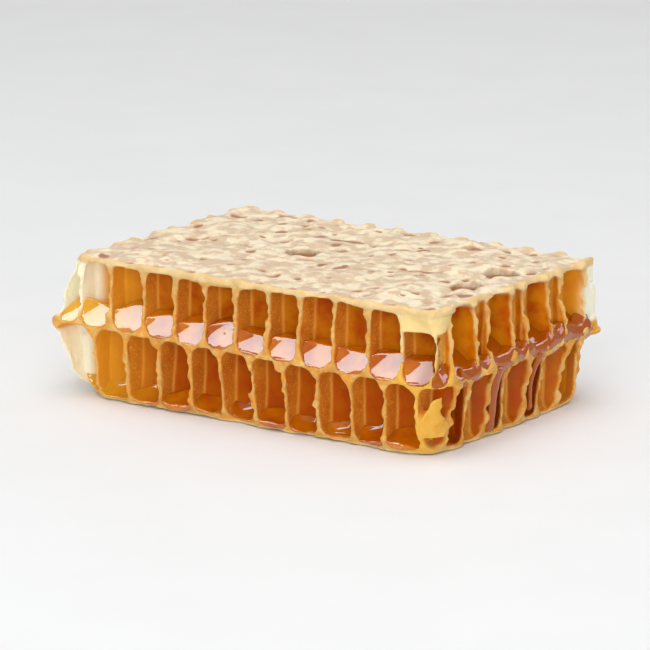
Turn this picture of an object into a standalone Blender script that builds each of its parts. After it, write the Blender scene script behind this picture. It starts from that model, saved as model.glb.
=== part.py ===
"""A piece cut from a capped honeycomb: wax cells back to back on a midrib, honey in them, lids on both sides.

The piece lies flat. X runs along its long sides and along the rows of cells, Y across the rows and +Z up. The
origin is the middle of its footprint, on the surface that it rests on. Lengths are in millimetres until they
reach a mesh.
"""

import math
import random

import bmesh
import bpy

MM = 0.001

# Driving dimensions
CELL = 5.4  # a cell's width across its flats, from wall centre to wall centre
LENGTH = 61.1  # long side, at the top lids
HEIGHT = 20.8  # thickness of the comb
ROWS = 9
FRONT_DEPTH = 1.6  # from the front cut to the centres of the first row of cells, and the same at the back
RIGHT_DEPTH = 3.15  # from the right cut to the centre of the nearest cell of an even row
WALL = 0.8  # thickness of a cut cell wall
TOP_LID, FOOT_LID = 1.2, 1.0  # thickness of the wax lids
RIM = 0.2  # how much thicker the lids are along the cut sides
HONEY_EDGE = 0.25  # how far the honey reaches past the middle of the outermost whole cells' walls
GAP = 0.3  # clearance between the wax and the honey

# Levels of the cell ends, with the midrib between them
CUP_RIM, CUP_MIDDLE, CUP_LOW = 12.4, 11.2, 10.7
DOME_RIM, DOME_MIDDLE, DOME_TOP = 7.8, 9.4, 10.1
CUP_MIDDLE_SHARE, DOME_MIDDLE_SHARE = 0.6, 0.72

# The cut sides lean out to the midrib, and the upright corners are rounder away from it
MIDRIB = 10.6
FRONT_BULGE, RIGHT_BULGE, LEFT_BULGE = 0.9, 0.9, 4.4
FOOT_INSET = 0.4
TOP_CORNER, MIDRIB_CORNER, FOOT_CORNER = 2.4, 1.4, 4.0
CORNER_STEPS = 4

# Sunken lids, and cells without one, as (row, column) counted from the front right corner
PIT_DEPTH = 0.4
PIT_RADIUS = (1.0, 1.7)
PIT_SHIFT = 0.25
OPEN_CELLS = ((3, 0), (5, 0), (4, 6))
OPEN_APOTHEM = 1.9
SEED = 7

# Lower cell that torn wax fills, at the front right corner
TORN_CELL = (0, 0)

APOTHEM = CELL / 2
SIDE = CELL / math.sqrt(3)
ROW_PITCH = 1.5 * SIDE
WIDTH = 2 * FRONT_DEPTH + (ROWS - 1) * ROW_PITCH
MIDDLE_X = (LEFT_BULGE - RIGHT_BULGE) / 2  # puts the middle of the whole footprint at the origin
CUT_LEFT, CUT_RIGHT = MIDDLE_X - LENGTH / 2, MIDDLE_X + LENGTH / 2
WHOLE_DEPTH = APOTHEM + WALL / 2  # a cell with its centre this deep inside the right or left cut is whole
LOWEST_X = CUT_LEFT - LEFT_BULGE - APOTHEM + WALL / 2  # cells centred past these two leave no groove
HIGHEST_X = CUT_RIGHT + RIGHT_BULGE + APOTHEM - WALL / 2
REACH = 6.0  # how far a cut cell's cutter runs past the cut


def clear_scene():
    for item in list(bpy.data.objects):
        bpy.data.objects.remove(item)


def surface_material(name, colour, roughness):
    material = bpy.data.materials.new(name)
    material.use_nodes = True
    shader = material.node_tree.nodes["Principled BSDF"]
    shader.inputs["Base Color"].default_value = (*colour, 1.0)
    shader.inputs["Roughness"].default_value = roughness
    shader.inputs["Metallic"].default_value = 0.0
    return material


def add_body(mesh, rings):
    """Adds a closed body through rings of points from low to high. A ring of one point ends it in a tip."""
    made = [[mesh.verts.new([c * MM for c in point]) for point in ring] for ring in rings]
    for low, high in zip(made, made[1:]):
        count = max(len(low), len(high))
        for k in range(count):
            after = (k + 1) % count
            if len(low) == 1:
                mesh.faces.new((low[0], high[after], high[k]))
            elif len(high) == 1:
                mesh.faces.new((low[k], low[after], high[0]))
            else:
                mesh.faces.new((low[k], low[after], high[after], high[k]))
    if len(made[0]) > 1:
        mesh.faces.new(reversed(made[0]))
    if len(made[-1]) > 1:
        mesh.faces.new(made[-1])


def new_object(name, bodies, material=None):
    """One object from a list of bodies, each a list of rings."""
    mesh = bmesh.new()
    for rings in bodies:
        add_body(mesh, rings)
    bmesh.ops.recalc_face_normals(mesh, faces=mesh.faces)
    data = bpy.data.meshes.new(name)
    mesh.to_mesh(data)
    mesh.free()
    item = bpy.data.objects.new(name, data)
    bpy.context.scene.collection.objects.link(item)
    if material:
        data.materials.append(material)
    return item


def cut(item, name, bodies):
    """Takes the bodies away from the object."""
    cutter = new_object(name, bodies)
    cutter.hide_render = True
    cutter.display_type = "WIRE"
    modifier = item.modifiers.new(name, "BOOLEAN")
    modifier.operation = "DIFFERENCE"
    modifier.solver = "EXACT"
    modifier.object = cutter


def outline(z, left, right, front, corner):
    """The cut outline at one level, anticlockwise, with round corners. The back follows the front."""
    low_x, high_x = CUT_LEFT - left + corner, CUT_RIGHT + right - corner
    half_y = WIDTH / 2 + front - corner
    centres = ((high_x, half_y), (low_x, half_y), (low_x, -half_y), (high_x, -half_y))
    points = []
    for quarter, (x, y) in enumerate(centres):
        for step in range(CORNER_STEPS + 1):
            angle = (quarter + step / CORNER_STEPS) * math.pi / 2
            points.append((x + corner * math.cos(angle), y + corner * math.sin(angle), z))
    return points


def hexagon(x, y, apothem):
    """Corners anticlockwise, with points towards the front and the back."""
    radius = apothem * 2 / math.sqrt(3)
    angles = [math.radians(30 + 60 * k) for k in range(6)]
    return [(x + radius * math.cos(a), y + radius * math.sin(a)) for a in angles]


def prism(points, low, high):
    return [[(x, y, low) for x, y in points], [(x, y, high) for x, y in points]]


def lattice(shift):
    """(row, column, x, y, depth) of each cell that meets the piece. Depth is from its centre to the nearer of
    the right and left cuts. The lower layer is shifted by half a cell against the upper one."""
    found = []
    for row in range(ROWS):
        y = -WIDTH / 2 + FRONT_DEPTH + row * ROW_PITCH
        start = CUT_RIGHT - RIGHT_DEPTH + shift - (row % 2) * APOTHEM
        for column in range(-1, int(LENGTH / CELL) + 3):
            x = start - column * CELL
            if LOWEST_X < x < HIGHEST_X:
                found.append((row, column, x, y, min(x - CUT_LEFT, CUT_RIGHT - x)))
    return found


def is_whole(row, depth):
    return 0 < row < ROWS - 1 and depth >= WHOLE_DEPTH


def cut_cells(shift, filled=()):
    """(row, x, y) of the cells that the cut opens, without those that are filled with torn wax."""
    found = [cell for cell in lattice(shift) if not is_whole(cell[0], cell[4])]
    return [(row, x, y) for row, column, x, y, _depth in found if (row, column) not in filled]


def cut_plan(row, x, y):
    """A cut cell's inside, seen from above. In the first and last rows its mouth runs straight out."""
    points = hexagon(x, y, APOTHEM - WALL / 2)
    if row == 0:
        points[3] = (points[3][0], y - REACH)
        points[5] = (points[5][0], y - REACH)
        del points[4]
    elif row == ROWS - 1:
        points[0] = (points[0][0], y + REACH)
        points[2] = (points[2][0], y + REACH)
        del points[1]
    return points


def shrunk(points, x, y, share, z):
    return [(x + (px - x) * share, y + (py - y) * share, z) for px, py in points]


def upper_cell(row, x, y):
    """The inside of a cell above the midrib, down to its cupped base."""
    plan = cut_plan(row, x, y)
    return [
        [(x, y, CUP_LOW)],
        shrunk(plan, x, y, CUP_MIDDLE_SHARE, CUP_MIDDLE),
        shrunk(plan, x, y, 1.0, CUP_RIM),
        shrunk(plan, x, y, 1.0, HEIGHT - TOP_LID - RIM),
    ]


def lower_cell(row, x, y):
    """The inside of a cell below the midrib, up to its domed base."""
    plan = cut_plan(row, x, y)
    return [
        shrunk(plan, x, y, 1.0, FOOT_LID + RIM),
        shrunk(plan, x, y, 1.0, DOME_RIM),
        shrunk(plan, x, y, DOME_MIDDLE_SHARE, DOME_MIDDLE),
        [(x, y, DOME_TOP)],
    ]


def whole_outline(shift, spread):
    """The outline, anticlockwise, round all whole cells of a layer together, moved out by spread."""
    sides = {}
    for row, _column, x, y, depth in lattice(shift):
        if is_whole(row, depth):
            corners = hexagon(x, y, APOTHEM)
            for start, end in zip(corners, corners[1:] + corners[:1]):
                sides[corner_key(start), corner_key(end)] = start
    border = {start: (point, end) for (start, end), point in sides.items() if (end, start) not in sides}
    loop = []
    key = min(border)
    while len(loop) < len(border):
        point, key = border[key]
        loop.append(point)
    return moved_out(loop, spread)


def corner_key(point):
    """The same key for a corner that neighbouring cells share, in half cells across and half sides along."""
    x = (point[0] - CUT_RIGHT + RIGHT_DEPTH) / APOTHEM
    y = (point[1] + WIDTH / 2 - FRONT_DEPTH) / (SIDE / 2)
    return round(x), round(y)


def moved_out(loop, spread):
    """An anticlockwise loop with each side moved out by spread."""
    moved = []
    for before, here, after in zip(loop[-1:] + loop[:-1], loop, loop[1:] + loop[:1]):
        sum_x = sum_y = 0.0
        for a, b in ((before, here), (here, after)):
            length = math.dist(a, b)
            sum_x += (b[1] - a[1]) / length
            sum_y += (a[0] - b[0]) / length
        scale = 2 * spread / (sum_x**2 + sum_y**2)
        moved.append((here[0] + sum_x * scale, here[1] + sum_y * scale))
    return moved


def pits(shift, face, inward, luck):
    """Sunken lids: a low six-sided cone at each cell, its tip in the wax. Inward is the way into the wax."""
    bodies = []
    for row, column, x, y, depth in lattice(shift):
        open_cell = inward < 0 and (row, column) in OPEN_CELLS
        if open_cell or row in (0, ROWS - 1) or depth < WHOLE_DEPTH:
            continue
        middle = (x + luck.uniform(-PIT_SHIFT, PIT_SHIFT), y + luck.uniform(-PIT_SHIFT, PIT_SHIFT))
        sunk = PIT_DEPTH * luck.uniform(0.7, 1.2)
        tip = [(*middle, face + inward * sunk)]
        brim = hexagon(*middle, 1.25 * luck.uniform(*PIT_RADIUS))
        mouth = [(px, py, face - inward * sunk / 4) for px, py in brim]
        bodies.append([tip, mouth] if inward < 0 else [mouth, tip])
    return bodies


def open_cells():
    """Holes in the top lids over the cells that were never capped."""
    low, high = HEIGHT - TOP_LID - GAP / 2, HEIGHT + REACH
    spots = [(x, y) for row, column, x, y, _depth in lattice(0.0) if (row, column) in OPEN_CELLS]
    return [prism(hexagon(x, y, OPEN_APOTHEM), low, high) for x, y in spots]


def build_wax(material):
    """Lids, walls and midrib in one. The whole cells are one hollow in each layer, which the honey fills."""
    levels = [
        outline(0.0, -FOOT_INSET, -FOOT_INSET, -FOOT_INSET, FOOT_CORNER),
        outline(MIDRIB, LEFT_BULGE, RIGHT_BULGE, FRONT_BULGE, MIDRIB_CORNER),
        outline(HEIGHT, 0.0, 0.0, 0.0, TOP_CORNER),
    ]
    comb = new_object("wax_comb", [levels], material)
    cut(comb, "upper_cut_cells", [upper_cell(*cell) for cell in cut_cells(0.0)])
    cut(comb, "lower_cut_cells", [lower_cell(*cell) for cell in cut_cells(APOTHEM, (TORN_CELL,))])
    spread = HONEY_EDGE + GAP
    upper_hollow = prism(whole_outline(0.0, spread), CUP_RIM, HEIGHT - TOP_LID)
    lower_hollow = prism(whole_outline(APOTHEM, spread), FOOT_LID, DOME_RIM)
    cut(comb, "hollows", [upper_hollow, lower_hollow])
    luck = random.Random(SEED)
    cut(comb, "pits_and_open_cells", pits(0.0, HEIGHT, -1, luck) + pits(APOTHEM, 0.0, 1, luck) + open_cells())


def build_honey(name, shift, low, high, material):
    """The honey of a layer's whole cells, which shows at the back of every cut cell."""
    new_object(name, [prism(whole_outline(shift, HONEY_EDGE), low + GAP, high - GAP)], material)


def main():
    clear_scene()
    build_wax(surface_material("wax", (0.62, 0.38, 0.10), 0.5))
    honey = surface_material("honey", (0.50, 0.16, 0.01), 0.08)
    build_honey("honey_upper", 0.0, CUP_RIM, HEIGHT - TOP_LID, honey)
    build_honey("honey_lower", APOTHEM, FOOT_LID, DOME_RIM, honey)


main()
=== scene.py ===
"""Comb honey: a piece cut from a capped honeycomb, with ragged wax walls, pale lids and wet honey.

The add-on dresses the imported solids, one operator for each group of pieces. The wax is worked out as a field of
distances to its surface, in millimetres, from the same cells and cuts as the solids, and then turned into meshes.
"""

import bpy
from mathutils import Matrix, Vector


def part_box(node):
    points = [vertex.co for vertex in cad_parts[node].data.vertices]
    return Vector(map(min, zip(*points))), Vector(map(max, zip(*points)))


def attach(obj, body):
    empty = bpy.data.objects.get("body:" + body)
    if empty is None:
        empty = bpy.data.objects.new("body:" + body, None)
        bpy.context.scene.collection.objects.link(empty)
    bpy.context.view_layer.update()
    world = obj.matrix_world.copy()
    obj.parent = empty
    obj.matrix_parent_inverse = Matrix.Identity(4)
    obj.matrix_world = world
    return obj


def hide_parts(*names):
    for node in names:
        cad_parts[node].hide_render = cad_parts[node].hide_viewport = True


bl_info = {
    "name": "Comb Honey Piece",
    "version": (1, 0, 0),
    "blender": (4, 5, 0),
    "location": "View3D > Sidebar > Comb Honey",
    "description": "Builds a cut piece of capped honeycomb with its honey",
    "category": "Add Mesh",
}

import functools
import math

import bpy
import numpy as np
import openvdb
from bpy.props import FloatProperty, FloatVectorProperty, PointerProperty

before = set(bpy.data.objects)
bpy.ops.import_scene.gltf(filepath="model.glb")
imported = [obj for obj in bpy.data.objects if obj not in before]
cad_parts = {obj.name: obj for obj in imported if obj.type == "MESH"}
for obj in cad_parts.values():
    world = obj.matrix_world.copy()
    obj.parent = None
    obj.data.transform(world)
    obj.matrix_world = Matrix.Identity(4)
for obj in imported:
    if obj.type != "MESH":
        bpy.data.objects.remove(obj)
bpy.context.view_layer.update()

MM = 0.001

# The comb, as in the solids
CELL = 5.4
APOTHEM = CELL / 2
SIDE = CELL / math.sqrt(3)
ROW_PITCH = 1.5 * SIDE
ROWS = 9
FRONT_DEPTH, RIGHT_DEPTH = 1.6, 3.15
FRONT_BULGE, RIGHT_BULGE, LEFT_BULGE = 0.9, 0.9, 4.4
OPEN_CELLS = ((3, 0), (5, 0), (4, 6))
WHOLE_DEPTH = 3.1

LOW, HIGH = (np.array(corner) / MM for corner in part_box("wax_comb"))
HEIGHT = HIGH[2]
CUT_LEFT, CUT_RIGHT = LOW[0] + LEFT_BULGE, HIGH[0] - RIGHT_BULGE
CUT_BACK = HIGH[1] - FRONT_BULGE
MID_X, HALF_X = (CUT_LEFT + CUT_RIGHT) / 2, (CUT_RIGHT - CUT_LEFT) / 2
FIRST_X, FIRST_Y = CUT_RIGHT - RIGHT_DEPTH, FRONT_DEPTH - CUT_BACK

# How far the cut sides stand out past the lids, and the corners' radii, from the foot to the top
LEVELS = (0.0, 1.5, 3.0, 5.8, 8.6, 9.8, 11.2, 12.4, 16.0, 18.2, 20.8)
LEFT_OUT = (-0.8, 0.5, 2.0, 2.3, 3.2, 3.9, 3.9, 2.4, 2.6, 1.0, 0.0)
RIGHT_OUT = (-1.4, -1.1, -0.8, -0.7, 0.1, 0.8, 0.9, 0.7, 0.2, 0.1, 0.0)
FRONT_OUT = (-0.9, -0.5, -0.1, 0.1, 0.5, 0.8, 0.7, 0.4, 0.2, 0.1, 0.0)
CORNER = (6.0, 4.5, 3.2, 2.4, 1.8, 1.5, 1.5, 1.6, 1.8, 1.8, 1.8)

FACES_A_PIECE = 180_000
MIDRIB = 10.6
SMALLEST = 400  # points in the smallest crumb that stays


def linear(red, green, blue):
    """A display colour in the shaders' linear values."""
    return tuple((c / 255 / 12.92) if c < 11 else ((c / 255 + 0.055) / 1.055) ** 2.4 for c in (red, green, blue))


# ---------------------------------------------------------------- fields


class Block:
    """A regular block of points through one layer of the comb, in millimetres."""

    MARGIN = 1.4

    def __init__(self, low, high, step):
        self.step = step
        self.low = np.array([LOW[0] - self.MARGIN, LOW[1] - self.MARGIN, low])
        ends = (HIGH[0] + self.MARGIN, HIGH[1] + self.MARGIN, high)
        self.axes = [np.arange(a, b, step, dtype=np.float32) for a, b in zip(self.low, ends)]
        self.x, self.y, self.z = np.meshgrid(*self.axes, indexing="ij", sparse=True)

    def noise(self, spacing, seed):
        """Smooth noise of about unit strength that changes over the spacing, the same in every block."""
        reaches = (40, 28, 28)
        sizes = [int(2 * reach / spacing) + 5 for reach in reaches]
        values = np.random.default_rng(seed).standard_normal(sizes, dtype=np.float32) * 3
        for axis, size, reach in zip(self.axes, sizes, reaches):
            at = (axis + reach) / spacing
            base = np.floor(at).astype(int)
            t = at - base
            weights = np.zeros((len(axis), size), np.float32)
            parts = ((1 - t) ** 3, 3 * t**3 - 6 * t**2 + 4, -3 * t**3 + 3 * t**2 + 3 * t + 1, t**3)
            for k, part in enumerate(parts):
                weights[np.arange(len(axis)), base + k] = part / 6
            values = np.tensordot(values, weights, (0, 1))
        return values

    def sample(self, field, points):
        """The field's values at points, which lie anywhere in the block."""
        at = np.clip((points - self.low) / self.step, 0, np.array(field.shape) - 1.001)
        base = at.astype(int)
        share = (at - base).astype(np.float32)
        total = np.zeros(len(points), np.float32)
        for corner in range(8):
            offset = np.array([corner >> 2 & 1, corner >> 1 & 1, corner & 1])
            i, j, k = (base + offset).T
            weight = np.prod(np.where(offset, share, 1 - share), axis=1)
            total += weight * field[i, j, k]
        return total


def smoothstep(low, high, value):
    t = np.clip((value - low) / (high - low), 0, 1)
    return t * t * (3 - 2 * t)


def both(a, b, radius):
    """Positive where a and b both are, with the edge between them rounded."""
    near = np.hypot(np.maximum(radius - a, 0), np.maximum(radius - b, 0))
    return np.maximum(np.minimum(a, b), radius) - near


def either(a, b, radius):
    """Positive where a or b is, with a fillet between them."""
    return -both(-a, -b, radius)


def meniscus(far, radius):
    """How high a liquid climbs, at a distance from a wall."""
    return radius - np.sqrt(radius**2 - np.clip(radius - far, 0, radius) ** 2)


def outline(offsets, z):
    """A curve through the offsets at LEVELS, smoothed."""
    return sum(np.interp(z + d, LEVELS, offsets) for d in (-0.7, -0.35, 0.0, 0.35, 0.7)) / 5


def cut_depth(x, y, z):
    """How deep each point lies inside the cut sides."""
    left = CUT_LEFT - outline(LEFT_OUT, z)
    right = CUT_RIGHT + outline(RIGHT_OUT, z)
    front = -CUT_BACK - outline(FRONT_OUT, z)
    back = CUT_BACK + outline(FRONT_OUT, z)
    corner = outline(CORNER, z)
    from_x = np.abs(x - (left + right) / 2) - (right - left) / 2 + corner
    from_y = np.abs(y - (front + back) / 2) - (back - front) / 2 + corner
    outside = np.hypot(np.maximum(from_x, 0), np.maximum(from_y, 0))
    return corner - outside - np.minimum(np.maximum(from_x, from_y), 0)


class Cells:
    """The cell that each point is in: its row and column, and where the point lies in it."""

    def __init__(self, x, y, shift, panel):
        best = None
        for parity in (0, 1):
            row = 2 * np.round(((y - FIRST_Y) / ROW_PITCH - parity) / 2) + parity
            row = np.clip(row, parity, ROWS - 1 - parity)
            start = FIRST_X + shift - parity * APOTHEM
            column = np.round((start - x) / CELL)
            across, along = x - start + column * CELL, y - FIRST_Y - row * ROW_PITCH
            found = (across**2 + along**2, across, along, row, column)
            if best is None:
                best = found
            else:
                nearer = found[0] < best[0]
                best = [np.where(nearer, new, old) for new, old in zip(found, best)]
        _away, self.across, self.along, self.row, self.column = best
        centre = FIRST_X + shift - np.mod(self.row, 2) * APOTHEM - self.column * CELL
        at_left, at_right = centre - CUT_LEFT < WHOLE_DEPTH, CUT_RIGHT - centre < WHOLE_DEPTH - 0.1
        at_front, at_back = self.row == 0, self.row == ROWS - 1
        self.cut = at_left | at_right | at_front | at_back
        # A cut cell stays open all the way out
        across = np.where(at_left, np.maximum(self.across, 0), np.where(at_right, np.minimum(self.across, 0), self.across))
        along = np.where(at_front, np.maximum(self.along, 0), np.where(at_back, np.minimum(self.along, 0), self.along))
        slope = np.abs(across) / 2 + np.abs(along) * math.sqrt(3) / 2
        wide = np.where(centre > CUT_RIGHT, 0, np.abs(across))
        self.facet = slope - wide
        blend = 0.35
        larger = np.maximum(wide, slope) + np.maximum(blend - np.abs(self.facet), 0) ** 2 / (4 * blend)
        self.inside = APOTHEM - larger
        self.torn_open = (np.abs(centre - FIRST_X) < 0.1) & ~at_front & ~at_back
        self.end_wall = np.where(self.torn_open, self.across - (APOTHEM - panel), 0)
        self.end_mouth = APOTHEM - slope
        self.to_side = APOTHEM - wide
        left_facet = APOTHEM - self.along * math.sqrt(3) / 2 + self.across / 2
        self.to_left = np.minimum(APOTHEM + self.across, left_facet)
        self.to_back = APOTHEM - np.abs(self.across) / 2 - self.along * math.sqrt(3) / 2


def tilt(x):
    """The midrib lies a little lower towards the right."""
    return -0.01 * x


class Layer:
    """The fields of one layer of cells: how deep points lie in the wax, in the cut and in the cells."""

    def __init__(self, low, high, shift, panel, step, sizes):
        self.block = b = Block(low, high, step)
        warp_x = 0.16 * b.noise(7.0, 11) + 0.05 * b.noise(2.6, 12)
        warp_y = 0.16 * b.noise(7.0, 13) + 0.05 * b.noise(2.6, 14)
        inner_x, inner_y = (np.clip(v, -end, end) for v, end in ((b.x + warp_x - MID_X, HALF_X), (b.y + warp_y, CUT_BACK)))
        self.cells = Cells(inner_x + MID_X, inner_y, shift, panel)
        self.rough = b.noise(0.9, 15)
        fine = b.noise(0.5, 16)
        ragged = 0.10 * self.rough + 0.08 * fine + 0.12 * b.noise(2.4, 17)
        self.smooth_depth = cut_depth(b.x, b.y, b.z)
        self.depth = self.smooth_depth + sizes.ragged * ragged
        self.near_cut = np.exp(-np.maximum(self.depth, 0) / 0.6)
        nubs = np.maximum(b.noise(1.2, 18) - 0.9, 0)
        wall, edge = sizes.wall / MM, sizes.edge / MM
        bead = edge - wall + 0.22 * self.rough + 0.16 * fine + 0.45 * nubs
        self.wall = wall + self.near_cut * bead
        self.side = self.cells.inside - self.wall / 2
        from_left = b.x - CUT_LEFT + outline(LEFT_OUT, b.z) + 0.6 * ragged
        shut = smoothstep(-14.5, -16.0, b.y + 1.0 * b.noise(4.0, 19)[:, :, :1])
        self.film = shut * smoothstep(6.0, 4.0, from_left)
        torn = both(self.cells.end_mouth - self.wall / 2, self.cells.end_wall, 0.5)
        self.side = np.where(self.cells.torn_open, torn, self.side)
        self.opened = self.cells.cut | self.cells.torn_open
        self.skin = from_left - 0.75 * shut + 3.0 * (1 - shut)
        knob = 0.9 + 0.15 * b.noise(3.0, 20) - np.hypot(b.x - CUT_LEFT + 2.9, b.z - 10.5 - tilt(b.x))
        self.knob = both(knob, self.depth + 0.3, 0.4)

    def recessed(self, amount):
        """The cut depth, with the wax drawn back between the walls."""
        return self.depth - amount * (1 - self.film) * smoothstep(0.3, 2.2, self.cells.inside)


class UpperLayer(Layer):
    """The capped cells above the midrib."""

    def __init__(self, step, sizes):
        super().__init__(9.0, HEIGHT + 1.4, 0.0, 0.9, step, sizes)
        b, cells = self.block, self.cells
        x, y, z = b.x, b.y, b.z
        self.base = 10.58 + tilt(x) + 0.12 * b.noise(4.0, 21)
        self.floor = self.base + 0.2 * np.maximum(cells.along + 1.6, 0)
        corner = smoothstep(FIRST_X - 3.4, FIRST_X - 2.0, x) * smoothstep(FIRST_Y + 2.5, FIRST_Y + 0.6, y)
        lid = 1.05 + 0.2 * b.noise(3.5, 22)[:, :, :1] + 2.1 * corner
        drape = self.near_cut * smoothstep(HEIGHT - 4.2, HEIGHT - 1.0, z) * (0.55 + 0.35 * b.noise(3.0, 25))
        self.side = self.side - 0.5 * np.maximum(drape, 0)
        self.under = HEIGHT - lid
        self.relief, self.pits = self.top_relief()
        void = both(self.side, z - self.floor, 1.9)
        void = both(void, self.under - z, 0.6)
        void = both(void, self.skin, 0.5)
        closed = -np.minimum(cells.inside + self.wall / 2, 1.0)
        self.void = np.where(self.opened, void, closed)
        shafts = np.zeros_like(cells.cut)
        for row, column in OPEN_CELLS:
            shafts |= (cells.row == row) & (cells.column == column)
        shaft = both(self.side - 0.15, z - 14.0, 0.5)
        self.void = np.where(shafts, np.maximum(shaft, self.void), self.void)
        recess = 0.7 * smoothstep(12.5, 17.0, z) * (0.35 + 0.65 * smoothstep(-19.0, -15.0, y))
        top = np.maximum(HEIGHT - 0.35 + self.relief[:, :, None], self.under + 0.32)
        self.wax = both(both(self.recessed(recess), top - z, 0.45), -self.void, 0.25)
        self.wax = either(self.wax, self.knob, 0.6)

    def top_relief(self):
        """(height, pits) of the lids over the whole plan: low lumps, and a scatter of small sunken spots."""
        b = self.block
        luck = np.random.default_rng(31)
        xs, ys = b.axes[0], b.axes[1]
        pits, uneven = np.zeros((len(xs), len(ys)), np.float32), b.noise(0.9, 35)[:, :, 0]
        for row in range(ROWS):
            for column in range(12):
                centre = FIRST_X - row % 2 * APOTHEM - column * CELL, FIRST_Y + row * ROW_PITCH
                for _ in range(luck.integers(0, 5)):
                    at_x, at_y = np.array(centre) + luck.normal(0, 1.1, 2)
                    radius, depth = luck.uniform(0.5, 1.3), luck.uniform(0.35, 1.0)
                    stretch = luck.uniform(0.7, 1.4)
                    i = slice(*np.searchsorted(xs, (at_x - 2.2, at_x + 2.2)))
                    j = slice(*np.searchsorted(ys, (at_y - 2.2, at_y + 2.2)))
                    far = np.hypot((xs[i, None] - at_x) * stretch, ys[None, j] - at_y) / radius
                    far = far + 0.25 * uneven[i, j]
                    pits[i, j] = np.maximum(pits[i, j], depth * (1 - smoothstep(0.45, 1.0, far)))
        lumps = sum(high * b.noise(size, seed)[:, :, 0] for high, size, seed in
                    ((0.13, 1.7, 32), (0.07, 0.8, 33), (0.10, 5.0, 34)))
        near, inside = self.depth[:, :, -8], self.cells.inside[:, :, -8]
        inner = smoothstep(0.6, 2.2, near)
        crest = 0.30 * smoothstep(1.3, 0.2, near) * smoothstep(1.6, 0.3, inside)
        return (lumps - 0.55 * pits) * inner + crest, pits * inner


class LowerLayer(Layer):
    """The cells below the midrib."""

    def __init__(self, step, sizes):
        super().__init__(-1.4, 12.0, APOTHEM, 3.0, step, sizes)
        b, cells = self.block, self.cells
        x, y, z = b.x, b.y, b.z
        self.roof = 10.45 + tilt(x) + 0.12 * b.noise(4.0, 21)
        self.over = 0.75 + 0.15 * b.noise(3.5, 23)[:, :, :1]
        void = both(self.side, self.roof - z, 2.0)
        void = both(void, z - self.over, 1.2)
        void = both(void, self.skin, 0.5)
        web = both(b.noise(2.0, 26) * 1.3 + 0.75, void, 0.3)
        torn = (cells.row == 0) & (cells.column == 0)
        void = np.where(torn & (self.depth < 1.6), np.minimum(void, web), void)
        closed = -np.minimum(cells.inside + self.wall / 2, 1.0)
        self.void = np.where(self.opened, void, closed)
        bottom = 0.05 + 0.1 * np.maximum(b.noise(1.6, 24)[:, :, :1], 0)
        recess = 0.35 * smoothstep(7.5, 4.0, z)
        self.wax = both(both(self.recessed(recess), z - bottom, 0.45), -self.void, 0.25)
        self.wax = either(self.wax, self.knob, 0.6)


@functools.cache
def layers():
    sizes = bpy.context.scene.comb_sizes
    step = 0.2
    return UpperLayer(step, sizes), LowerLayer(step, sizes)


# ---------------------------------------------------------------- meshes


def without_crumbs(points, triangles, quads):
    """The surface without its small loose pieces."""
    label = np.arange(len(points))
    edges = np.concatenate([quads[:, :2], quads[:, 1:3], quads[:, 2:], triangles[:, :2], triangles[:, 1:]])
    while True:
        least = np.minimum(label[edges[:, 0]], label[edges[:, 1]])
        new = label.copy()
        np.minimum.at(new, edges[:, 0], least)
        np.minimum.at(new, edges[:, 1], least)
        new = new[new]
        if (new == label).all():
            break
        label = new
    large = np.bincount(label, minlength=len(points))[label] > SMALLEST
    place = np.cumsum(large) - 1
    return points[large], place[triangles[large[triangles[:, 0]]]], place[quads[large[quads[:, 0]]]]


def surface(name, layer, field):
    """A mesh of the surface where the field is zero."""
    grid = openvdb.FloatGrid(1.0)
    grid.copyFromArray(np.ascontiguousarray(-field, dtype=np.float32))
    points, triangles, quads = grid.convertToPolygons(0.0, 0.003)
    points, triangles, quads = without_crumbs(points, triangles, quads)
    points = (points * layer.block.step + layer.block.low) * MM
    mesh = bpy.data.meshes.new(name)
    mesh.vertices.add(len(points))
    mesh.vertices.foreach_set("co", points.astype(np.float32).ravel())
    corners = np.concatenate([quads[:, ::-1].ravel(), triangles[:, ::-1].ravel()]).astype(np.int32)
    mesh.loops.add(len(corners))
    mesh.loops.foreach_set("vertex_index", corners)
    starts = np.concatenate([np.arange(len(quads)) * 4, 4 * len(quads) + np.arange(len(triangles)) * 3])
    mesh.polygons.add(len(starts))
    mesh.polygons.foreach_set("loop_start", starts.astype(np.int32))
    mesh.update(calc_edges=True)
    return mesh, 2 * len(quads) + len(triangles)


def add_piece(name, layer, field, masks, nodes, material):
    """A piece with the surface of the field, and with the masks that its material reads at its points."""
    mesh, faces = surface(name, layer, field)
    piece = bpy.data.objects.new(name, mesh)
    bpy.context.scene.collection.objects.link(piece)
    if faces > FACES_A_PIECE:
        thin = piece.modifiers.new("Thin", "DECIMATE")
        thin.ratio = FACES_A_PIECE / faces
        mesh = bpy.data.meshes.new_from_object(piece.evaluated_get(bpy.context.evaluated_depsgraph_get()))
        piece.modifiers.clear()
        piece.data = mesh
        mesh.name = name
    points = np.empty(3 * len(mesh.vertices), np.float32)
    mesh.vertices.foreach_get("co", points)
    points = points.reshape(-1, 3) / MM
    for mask, values in masks.items():
        layer_mask = mesh.attributes.new(mask, "FLOAT", "POINT")
        layer_mask.data.foreach_set("value", layer.block.sample(values, points))
    mesh.shade_smooth()
    mesh.materials.append(material)
    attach(piece, "root")
    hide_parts(*nodes)
    print(name, len(mesh.vertices), sum(len(p.vertices) - 2 for p in mesh.polygons))
    return piece


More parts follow.
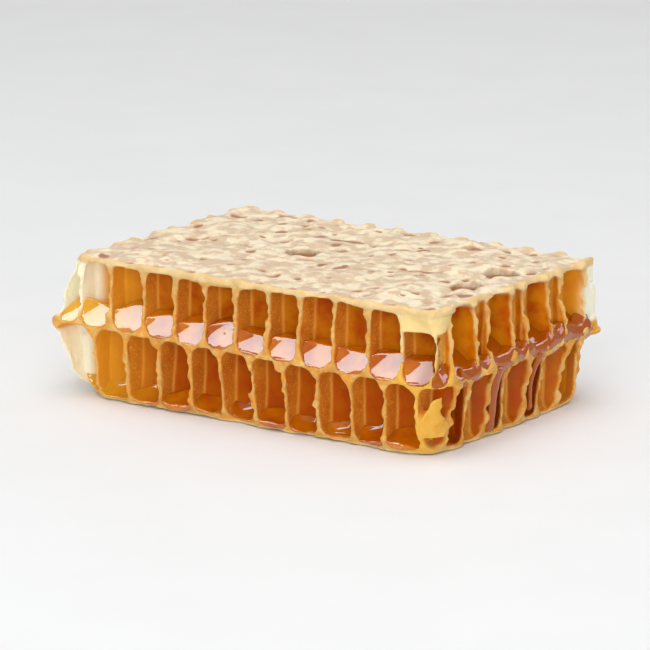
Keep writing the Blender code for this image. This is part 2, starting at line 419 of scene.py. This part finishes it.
def wax_masks(layer):
    """What the wax material reads: how near the cut, how far round a cell's corner, and how sunken."""
    cells = layer.cells
    full = np.broadcast_to
    shape = layer.wax.shape
    # Painted highlight: a bright line down each cell's corner, where light would catch the bend in the wall.
    line = np.exp(-((cells.facet / 0.16) ** 2)) * smoothstep(0.4, 1.0, layer.depth)
    pits = layer.pits[:, :, None] if hasattr(layer, "pits") else np.zeros((1, 1, 1), np.float32)
    return {
        "cut": layer.near_cut,
        "deep": layer.depth,
        "line": line,
        "facet": smoothstep(-0.2, 0.2, cells.facet),
        "pit": full(pits, shape),
    }


# ---------------------------------------------------------------- materials


class Value:
    """A number in a shader, from one socket, whose arithmetic adds Math nodes."""

    def __init__(self, finish, socket):
        self.finish, self.socket = finish, socket

    def math(self, operation, *others, clamp=False):
        node = self.finish.node("ShaderNodeMath", {"operation": operation, "use_clamp": clamp},
                                dict(enumerate((self, *others))))
        return Value(self.finish, node.outputs[0])

    def __add__(self, other):
        return self.math("ADD", other)

    __radd__ = __add__

    def __mul__(self, other):
        return self.math("MULTIPLY", other)

    __rmul__ = __mul__

    def __sub__(self, other):
        return self.math("SUBTRACT", other)

    def __rsub__(self, other):
        return self.math("MULTIPLY_ADD", -1.0, other)

    def over(self, low, high):
        """0 below low and 1 above high, with an even curve between."""
        node = self.finish.node("ShaderNodeMapRange", {"interpolation_type": "SMOOTHSTEP"},
                                {"Value": self, "From Min": low, "From Max": high})
        return Value(self.finish, node.outputs[0])


class Finish:
    """A material with a Principled shader, and the ways to add to its nodes."""

    def __init__(self, name, **constants):
        self.material = bpy.data.materials.new(name)
        self.material.use_nodes = True
        self.tree = self.material.node_tree
        self.shader = self.tree.nodes["Principled BSDF"]
        for socket, value in constants.items():
            self.shader.inputs[socket.replace("_", " ")].default_value = value
        self.place = self.node("ShaderNodeTexCoord").outputs["Object"]

    def node(self, kind, settings=None, inputs=None):
        node = self.tree.nodes.new(kind)
        for name, value in (settings or {}).items():
            setattr(node, name, value)
        for key, value in (inputs or {}).items():
            self.put(node.inputs[key], value)
        return node

    def put(self, socket, value):
        if isinstance(value, Value):
            value = value.socket
        if isinstance(value, bpy.types.NodeSocket):
            self.tree.links.new(value, socket)
        elif socket.type == "RGBA":
            socket.default_value = (*value[:3], 1.0)
        else:
            socket.default_value = value

    def set(self, socket, value):
        self.put(self.shader.inputs[socket], value)

    def mask(self, name):
        return Value(self, self.node("ShaderNodeAttribute", {"attribute_name": name}).outputs["Fac"])

    def axis(self, name):
        """One coordinate of the surface, in millimetres."""
        parts = self.node("ShaderNodeSeparateXYZ", inputs={0: self.place})
        return Value(self, parts.outputs[name]) * 1000.0

    def noise(self, size, detail=2.0, stretch=(1, 1, 1), offset=0.0):
        """Noise of the given size in millimetres, about 0 to 1."""
        place = self.node("ShaderNodeMapping", inputs={"Vector": self.place, "Scale": stretch,
                                                       "Location": (offset * MM,) * 3}).outputs[0]
        node = self.node("ShaderNodeTexNoise", inputs={"Vector": place, "Scale": 1000.0 / size, "Detail": detail})
        return Value(self, node.outputs["Fac"])

    def spots(self, size, offset=0.0):
        """The distance to the nearest of scattered points, in shares of the size."""
        place = self.node("ShaderNodeMapping", inputs={"Vector": self.place,
                                                       "Location": (offset * MM,) * 3}).outputs[0]
        node = self.node("ShaderNodeTexVoronoi", inputs={"Vector": place, "Scale": 1000.0 / size})
        return Value(self, node.outputs["Distance"])

    def mix(self, factor, first, second, blend="MIX"):
        node = self.node("ShaderNodeMix", {"data_type": "RGBA", "blend_type": blend},
                         {0: factor, 6: first, 7: second})
        return node.outputs[2]

    def bump(self, height, distance, strength=1.0):
        self.set("Normal", self.node("ShaderNodeBump", inputs={"Height": height, "Distance": distance * MM,
                                                               "Strength": strength}).outputs[0])


@functools.cache
def wax_finish():
    colours = bpy.context.scene.comb_colours
    f = Finish("comb_wax", Specular_IOR_Level=0.05, Subsurface_Weight=0.35, Subsurface_Scale=0.001, IOR=1.45,
               Coat_Roughness=0.08, Emission_Strength=1.0)
    f.set("Subsurface Radius", (1.6, 0.7, 0.25))
    cut, deep, line, facet, pit = (f.mask(name) for name in ("cut", "deep", "line", "facet", "pit"))
    x, y, z = (f.axis(name) for name in "XYZ")
    grain = f.noise(0.35, 3.0)
    patch = f.noise(3.0, 3.0, offset=5)

    inner = f.mix(facet, colours.wall, colours.facet)
    inner = f.mix(patch.over(0.35, 0.7), inner, colours.deep)
    low = (11.0 - z).over(0.0, 1.5)
    inner = f.mix(low * facet * 0.7, inner, colours.deep)
    inner = f.mix((1 - facet) * 0.75, inner, colours.grain)
    outer = x.over(29.0, 30.5) * z.over(11.0, 12.0) * (1 - facet)
    inner = f.mix(outer * 0.8, inner, colours.panel)
    # Pale specks of grain on the side walls, in the same colour as the painted corner highlight.
    specks = f.noise(0.3, 2.0, offset=2).over(0.52, 0.66)
    inner = f.mix(specks * (1 - facet) * 0.55, inner, colours.line)
    # Painted highlight along each cell's corner.
    inner = f.mix(line * 0.85, inner, colours.line)
    # Painted backlight, partly real: towards the thin left end and the back right corner the walls turn a lighter
    # amber, thin wax and honey lit as if from behind.
    left = (-1.0 * x).over(12.0, 27.0)
    right_back_backlit = x.over(20.0, 34.0) * y.over(8.0, 20.0)
    inner = f.mix(left.math("MAXIMUM", right_back_backlit) * 0.75, inner, colours.amber_thin_and_backlit)
    # The clear ends, partly real thin pale wax and partly painted light: near white, as if the bright backdrop shone
    # through them. The same mask drives the painted glow.
    ends = ((-1.0 * x) + (z - 12.0).over(0.0, 2.0) * 2.0).over(27.5, 29.5)
    ends = ends.math("MAXIMUM", x.over(30.0, 32.0) * y.over(16.0, 18.0))
    midrib = (z - 10.6).math("ABSOLUTE")
    ends = ends * midrib.over(0.7, 1.5)
    # Where the painted amber glow goes: the thin left end and the back right corner.
    painted_amber_glow_mask = left.math("MAXIMUM", right_back_backlit)
    inner = f.mix(ends * 0.85, inner, colours.thin)

    edge = f.mix(patch.over(0.3, 0.7), colours.cream, colours.rim)
    edge = f.mix((18.5 - z).over(0.0, 3.0) * f.noise(0.9, 3.0, offset=7).over(0.62, 0.35), edge, colours.gold)
    edge = f.mix(grain.over(0.5, 0.7) * 0.5, edge, colours.cream)
    corner = x.over(23.0, 27.0) * (-1.0 * y).over(16.0, 18.5)
    edge = f.mix(corner * 0.7, edge, f.mix(z.over(12.0, 16.0), colours.web, colours.pale))
    # Painted light at the clear ends: the cut edges turn near white too, as if lit through from behind.
    edge = f.mix(ends * 0.7, edge, colours.thin)
    colour = f.mix(cut.over(0.3, 0.66), inner, edge)

    lid = f.mix(f.noise(2.0, 3.0, offset=9).over(0.4, 0.6), colours.lid, colours.lid_pale)
    lid = f.mix(f.noise(0.7, 3.0, offset=3).over(0.6, 0.8) * 0.4, lid, colours.pit)
    lid = f.mix(pit.over(0.1, 0.75) * 0.9, lid, colours.pit)
    lid = f.mix(cut.over(0.05, 0.5) * 0.7, lid, colours.cream)
    capped = (z - HEIGHT).over(-1.5, -0.9).math("MAXIMUM", (0.6 - z).over(0.0, 0.3))
    colour = f.mix(capped, colour, lid)
    f.set("Base Color", colour)
    # Painted glow: the emission colour makes the clear ends and the thin amber walls shine as if light came through
    # them from behind, though they are no lamps.
    open_wax = 1 - capped
    painted_amber_glow = f.mix(painted_amber_glow_mask * open_wax, (0, 0, 0), colours.painted_glow_amber)
    f.set("Emission Color", f.mix(ends * open_wax, painted_amber_glow, colours.painted_glow))
    wet = (1 - cut.over(0.2, 0.6)) * open_wax
    f.set("Roughness", 0.6 - wet * 0.2)
    right = x.over(27.0, 30.0) * (11.0 - z).over(0.0, 1.0)
    f.set("Coat Weight", wet * (0.03 + right * 0.22))
    f.bump(grain * 0.6 + f.noise(0.9, 2.0) * 1.2, 0.12, 0.6)
    return f.material


@functools.cache
def honey_finish():
    colours = bpy.context.scene.comb_colours
    f = Finish("comb_honey", IOR=1.5, Specular_IOR_Level=0.2, Coat_Roughness=0.02, Coat_IOR=1.6,
               Subsurface_Weight=0.2, Subsurface_Scale=0.001)
    f.set("Subsurface Radius", (2.0, 0.8, 0.2))
    x = f.axis("X")
    colour = f.mix(f.noise(4.0, 2.0).over(0.35, 0.7), colours.honey, colours.honey_deep)
    # Painted backlight, partly real: the honey turns a lighter amber towards the thin left end, as if lit from behind.
    colour = f.mix((-1.0 * x).over(10.0, 30.0), colour, colours.amber_thin_and_backlit)
    right = x.over(28.5, 30.5)
    f.set("Base Color", f.mix(right, colour, colours.syrup))
    f.set("Roughness", 0.06 + right * 0.03)
    f.set("Coat Weight", 1 - right * 0.5)
    return f.material


@functools.cache
def floor_finish():
    f = Finish("pale_floor", Roughness=0.6, Specular_IOR_Level=0.2)
    f.set("Base Color", f.mix(f.noise(20.0).over(0.3, 0.7), (0.885, 0.885, 0.885), (0.9, 0.9, 0.9)))
    return f.material


# ---------------------------------------------------------------- settings


def length_setting(name, description, default, least, most):
    """A setting for a length, from a default and limits in millimetres."""
    return FloatProperty(name=name, description=description, subtype="DISTANCE", unit="LENGTH", precision=5,
                         default=default * MM, min=least * MM, max=most * MM)


class CombSizes(bpy.types.PropertyGroup):
    """The sizes of the wax and of the honey"""

    wall: length_setting("Wall", "Thickness of the cells' walls", 0.36, 0.2, 1.0)
    edge: length_setting("Cut edge", "Thickness of a wall where it was cut", 0.56, 0.2, 1.5)
    film: length_setting("Honey", "Depth of the honey on the cells' floors", 0.3, 0.0, 1.0)
    ragged: FloatProperty(name="Ragged", description="How ragged the cut is", subtype="FACTOR",
                          default=1.0, min=0.0, max=3.0)


def colour_setting(name, description, red, green, blue):
    return FloatVectorProperty(name=name, description=description, subtype="COLOR", min=0.0, max=1.0,
                               default=linear(red, green, blue))


class CombColours(bpy.types.PropertyGroup):
    """The colours of the wax and of the honey"""

    cream: colour_setting("Cream", "Fresh cut wax", 226, 188, 118)
    rim: colour_setting("Rim", "Darker cut wax", 204, 146, 74)
    gold: colour_setting("Gold", "Thin wax over honey", 222, 150, 58)
    panel: colour_setting("Panel", "Outer walls at the right side", 206, 142, 70)
    wall: colour_setting("Wall", "Side walls of the cells", 236, 162, 52)
    grain: colour_setting("Grain", "Grains on the side walls", 206, 126, 36)
    facet: colour_setting("Facet", "Back walls of the cells", 202, 122, 4)
    # Painted highlight down the cells' corners, and also the colour of pale grain specks on the side walls.
    line: colour_setting("Line", "Corners of the cells", 240, 176, 76)
    deep: colour_setting("Deep", "Darkest walls, with dark honey behind", 178, 76, 2)
    # Lighter amber of the thin ends, partly their own colour and partly painted backlight.
    amber_thin_and_backlit: colour_setting("Amber", "Walls at the thin ends", 228, 166, 40)
    # Near-white clear wax at the ends, partly its own pale colour and partly painted backlight.
    thin: colour_setting("Thin", "Clear wax at the end of the piece", 238, 240, 222)
    pale: colour_setting("Pale", "Thick wax at the front corner", 246, 222, 158)
    web: colour_setting("Web", "Torn wax below the front corner", 236, 184, 74)
    # Painted glow, set in the emission colour: it stands in for light that shines through thin wax and honey.
    painted_glow: colour_setting("Glow", "Light that shines through the clear wax", 98, 102, 88)
    painted_glow_amber: colour_setting("Amber glow", "Light that shines through thin honey", 68, 48, 12)
    lid: colour_setting("Lid", "Lids of the cells", 216, 190, 160)
    lid_pale: colour_setting("Pale lid", "Palest wax of the lids", 244, 226, 196)
    pit: colour_setting("Pit", "Sunken spots in the lids", 166, 112, 84)
    honey: colour_setting("Honey", "Honey in the cells", 206, 116, 4)
    honey_deep: colour_setting("Deep honey", "Darker honey", 172, 72, 2)
    syrup: colour_setting("Syrup", "Honey that has run over the right side", 166, 80, 4)


WAX_NODES = ("wax_comb",)
HONEY_NODES = ("honey_upper", "honey_lower")


class HONEYCOMB_OT_upper_cells(bpy.types.Operator):
    """Build the walls of the upper cells and the midrib"""

    bl_idname = "honeycomb.upper_cells"
    bl_label = "Upper Cells"

    def execute(self, context):
        upper, _lower = layers()
        z, split = upper.block.z, 10.4 + tilt(upper.block.x)
        field = np.minimum(upper.wax, np.minimum(z - split, HEIGHT - 1.1 - z))
        add_piece("upper_cells", upper, field, wax_masks(upper), WAX_NODES, wax_finish())
        return {"FINISHED"}


class HONEYCOMB_OT_lids(bpy.types.Operator):
    """Build the lids above and the sealed cells below"""

    bl_idname = "honeycomb.lids"
    bl_label = "Lids"

    def execute(self, context):
        upper, lower = layers()
        cap = np.minimum(upper.wax, upper.block.z - (HEIGHT - 1.4))
        add_piece("top_lids", upper, cap, wax_masks(upper), WAX_NODES, wax_finish())
        foot = np.minimum(lower.wax, 1.2 - lower.block.z)
        add_piece("foot_lids", lower, foot, wax_masks(lower), WAX_NODES, wax_finish())
        return {"FINISHED"}


class HONEYCOMB_OT_lower_cells(bpy.types.Operator):
    """Build the walls of the lower cells"""

    bl_idname = "honeycomb.lower_cells"
    bl_label = "Lower Cells"

    def execute(self, context):
        _upper, lower = layers()
        z, split = lower.block.z, 10.7 + tilt(lower.block.x)
        field = np.minimum(lower.wax, np.minimum(split - z, z - 0.9))
        add_piece("lower_cells", lower, field, wax_masks(lower), WAX_NODES, wax_finish())
        return {"FINISHED"}


class HONEYCOMB_OT_honey(bpy.types.Operator):
    """Build the honey that lies on the floors of the upper cells"""

    bl_idname = "honeycomb.honey"
    bl_label = "Honey"

    def execute(self, context):
        upper, lower = layers()
        film = context.scene.comb_sizes.film / MM
        b = upper.block
        lip = cut_depth(b.x, b.y, np.array([[[MIDRIB]]]))
        behind = np.maximum(lip - 0.2, 0) + 0.05 * b.noise(2.2, 46)
        front = upper.cells.row == 0
        twist = 0.06 * behind * upper.cells.across
        near_left = 0.35 + 0.95 * behind + 0.2 * b.noise(1.8, 49) - upper.cells.to_left
        climb = 0.45 * (near_left + np.hypot(near_left, 0.45))
        ramp = upper.base + film + 1.05 * behind + meniscus(upper.cells.to_side, 0.6)
        ramp = ramp + np.where(front, climb - twist, 0)
        pools = self.pool(upper, np.maximum(ramp, upper.floor + 0.12), upper.base + 3.2)
        add_piece("honey_pools", upper, pools, {"deep": upper.depth}, HONEY_NODES, honey_finish())
        b = lower.block
        level = lower.over + 0.3 + 0.3 * b.noise(5.0, 47) - 0.9 * smoothstep(27.0, 30.0, b.x)
        level = level + meniscus(lower.cells.to_back, 2.6) + meniscus(lower.cells.to_side, 1.3)
        dregs = self.pool(lower, level, lower.over + 2.0)
        add_piece("honey_dregs", lower, dregs, {"deep": lower.depth}, HONEY_NODES, honey_finish())
        drip = self.drip(lower)
        add_piece("honey_drip", lower, drip, {"deep": lower.depth}, HONEY_NODES, honey_finish())
        coat = self.coat(upper)
        add_piece("honey_coat", upper, coat, {"deep": upper.depth}, HONEY_NODES, honey_finish())
        return {"FINISHED"}

    def pool(self, layer, level, rise):
        """Honey under its surface, inside the open cells."""
        b = layer.block
        rise = rise + 0.35 * b.noise(2.2, 41)
        pool = both(np.minimum(layer.void + 0.12, level - b.z), rise - b.z, 0.35)
        pool = np.where(layer.opened, pool, -1.0)
        return both(pool, layer.depth + 0.05, 0.25)

    def drip(self, layer):
        """Strands of honey that hang from the midrib at the right side."""
        b = layer.block
        x, y, z = b.x, b.y, b.z
        strands = np.full_like(layer.wax, -9.0)
        for at_y, foot, thick, lean in ((-6.4, 0.9, 0.8, 0.08), (4.6, 1.6, 0.6, 0.05)):
            middle = at_y + lean * (10.5 - z) + 0.3 * b.noise(5.0, 48)
            face = CUT_RIGHT + outline(RIGHT_OUT, z) - 0.35
            swell = thick + 0.25 * smoothstep(7.5, 10.0, z) - 0.15 * smoothstep(8.0, 4.0, z)
            swell = swell + 0.2 * smoothstep(foot + 1.6, foot + 0.4, z)
            strand = swell - np.hypot((x - face) * 1.3, y - middle)
            strand = both(strand, np.minimum(z - foot, 10.4 - z), 0.6)
            strands = either(strands, strand, 0.3)
        return strands

    def coat(self, layer):
        """Honey that has run along the midrib at the right side."""
        b = layer.block
        x, y, z = b.x, b.y, b.z
        top = layer.base + 1.9 + 0.4 * b.noise(3.0, 43) + 0.8 * smoothstep(1.6, 0.4, layer.cells.inside)
        foot = 9.6 + tilt(x) + 0.3 * b.noise(2.2, 44)
        ends = np.minimum(y + 15.0 + b.noise(2.0, 45), 18.5 - y)
        band = both(np.minimum(top - z, z - foot), np.minimum(ends, x - 29.0), 0.6)
        bulge = (0.42 + 0.05 * b.noise(3.0, 42)) * smoothstep(0.0, 2.0, band) - 0.25
        shell = both(layer.smooth_depth + bulge, 1.8 - layer.smooth_depth, 0.3)
        return both(shell, band, 0.2)


class HONEYCOMB_OT_stage(bpy.types.Operator):
    """Set up the pale floor, the soft light and the camera"""

    bl_idname = "honeycomb.stage"
    bl_label = "Stage"

    def execute(self, context):
        scene = context.scene
        scene.view_settings.view_transform = "Standard"
        size = 3.0
        mesh = bpy.data.meshes.new("floor")
        mesh.from_pydata([(-size, -size, 0), (size, -size, 0), (size, size, 0), (-size, size, 0)], [], [(0, 1, 2, 3)])
        mesh.materials.append(floor_finish())
        floor = bpy.data.objects.new("floor", mesh)
        scene.collection.objects.link(floor)
        world = bpy.data.worlds.new("studio")
        world.use_nodes = True
        world.node_tree.nodes["Background"].inputs["Color"].default_value = (1, 1, 1, 1)
        world.node_tree.nodes["Background"].inputs["Strength"].default_value = 0.35
        scene.world = world
        soft = self.lamp("overhead", (0.1, -0.15, 0.9), 0.9, 0.9, 6.0)
        fill = self.lamp("fill", (0.5, -0.9, 0.35), 0.8, 0.8, 6.0)
        soft.visible_glossy = fill.visible_glossy = False
        window = self.lamp("window", (-0.2, -0.23, 0.39), 0.5, 0.4, 4.0)
        window.data.color = (0.68, 0.92, 1.0)
        side = self.lamp("side_window", (0.3, 0.36, 0.34), 0.45, 0.38, 2.4)
        side.data.color = (0.95, 0.85, 1.0)
        window.visible_diffuse = side.visible_diffuse = False
        camera = bpy.data.cameras.new("camera")
        camera.lens = 236
        camera.sensor_width = 36
        camera.clip_end = 10
        eye = bpy.data.objects.new("camera", camera)
        azimuth, elevation, distance = math.radians(34.9), math.radians(13.65), 0.6
        back = np.array([math.sin(azimuth) * math.cos(elevation), -math.cos(azimuth) * math.cos(elevation),
                         math.sin(elevation)])
        middle = np.array([0, 0, HEIGHT / 2 * MM])
        eye.location = middle + back * distance
        eye.rotation_euler = (math.pi / 2 - elevation, 0, azimuth)
        scene.collection.objects.link(eye)
        scene.camera = eye
        return {"FINISHED"}

    def lamp(self, name, place, width, depth, power):
        """A softbox that points at the comb."""
        light = bpy.data.lights.new(name, "AREA")
        light.shape = "RECTANGLE"
        light.size, light.size_y = width, depth
        light.energy = power
        lamp = bpy.data.objects.new(name, light)
        lamp.location = place
        away = np.array(place)
        lamp.rotation_euler = (math.atan2(np.hypot(away[0], away[1]), away[2]), 0,
                               math.atan2(away[0], -away[1]))
        bpy.context.scene.collection.objects.link(lamp)
        return lamp


class HONEYCOMB_PT_panel(bpy.types.Panel):
    """The comb's operators and settings"""

    bl_label = "Comb Honey"
    bl_space_type = "VIEW_3D"
    bl_region_type = "UI"
    bl_category = "Comb Honey"

    def draw(self, context):
        for step in STEPS:
            self.layout.operator(step.bl_idname)
        for group in (context.scene.comb_sizes, context.scene.comb_colours):
            for name in group.__annotations__:
                self.layout.prop(group, name)


STEPS = (
    HONEYCOMB_OT_upper_cells,
    HONEYCOMB_OT_lids,
    HONEYCOMB_OT_lower_cells,
    HONEYCOMB_OT_honey,
    HONEYCOMB_OT_stage,
)
CLASSES = (CombSizes, CombColours, *STEPS, HONEYCOMB_PT_panel)


def register():
    for cls in CLASSES:
        bpy.utils.register_class(cls)
    bpy.types.Scene.comb_sizes = PointerProperty(type=CombSizes)
    bpy.types.Scene.comb_colours = PointerProperty(type=CombColours)


def unregister():
    del bpy.types.Scene.comb_sizes, bpy.types.Scene.comb_colours
    for cls in reversed(CLASSES):
        bpy.utils.unregister_class(cls)


def main():
    register()
    bpy.ops.honeycomb.upper_cells()
    bpy.ops.honeycomb.lids()
    bpy.ops.honeycomb.lower_cells()
    bpy.ops.honeycomb.honey()
    bpy.ops.honeycomb.stage()


if __name__ == "__main__":
    main()
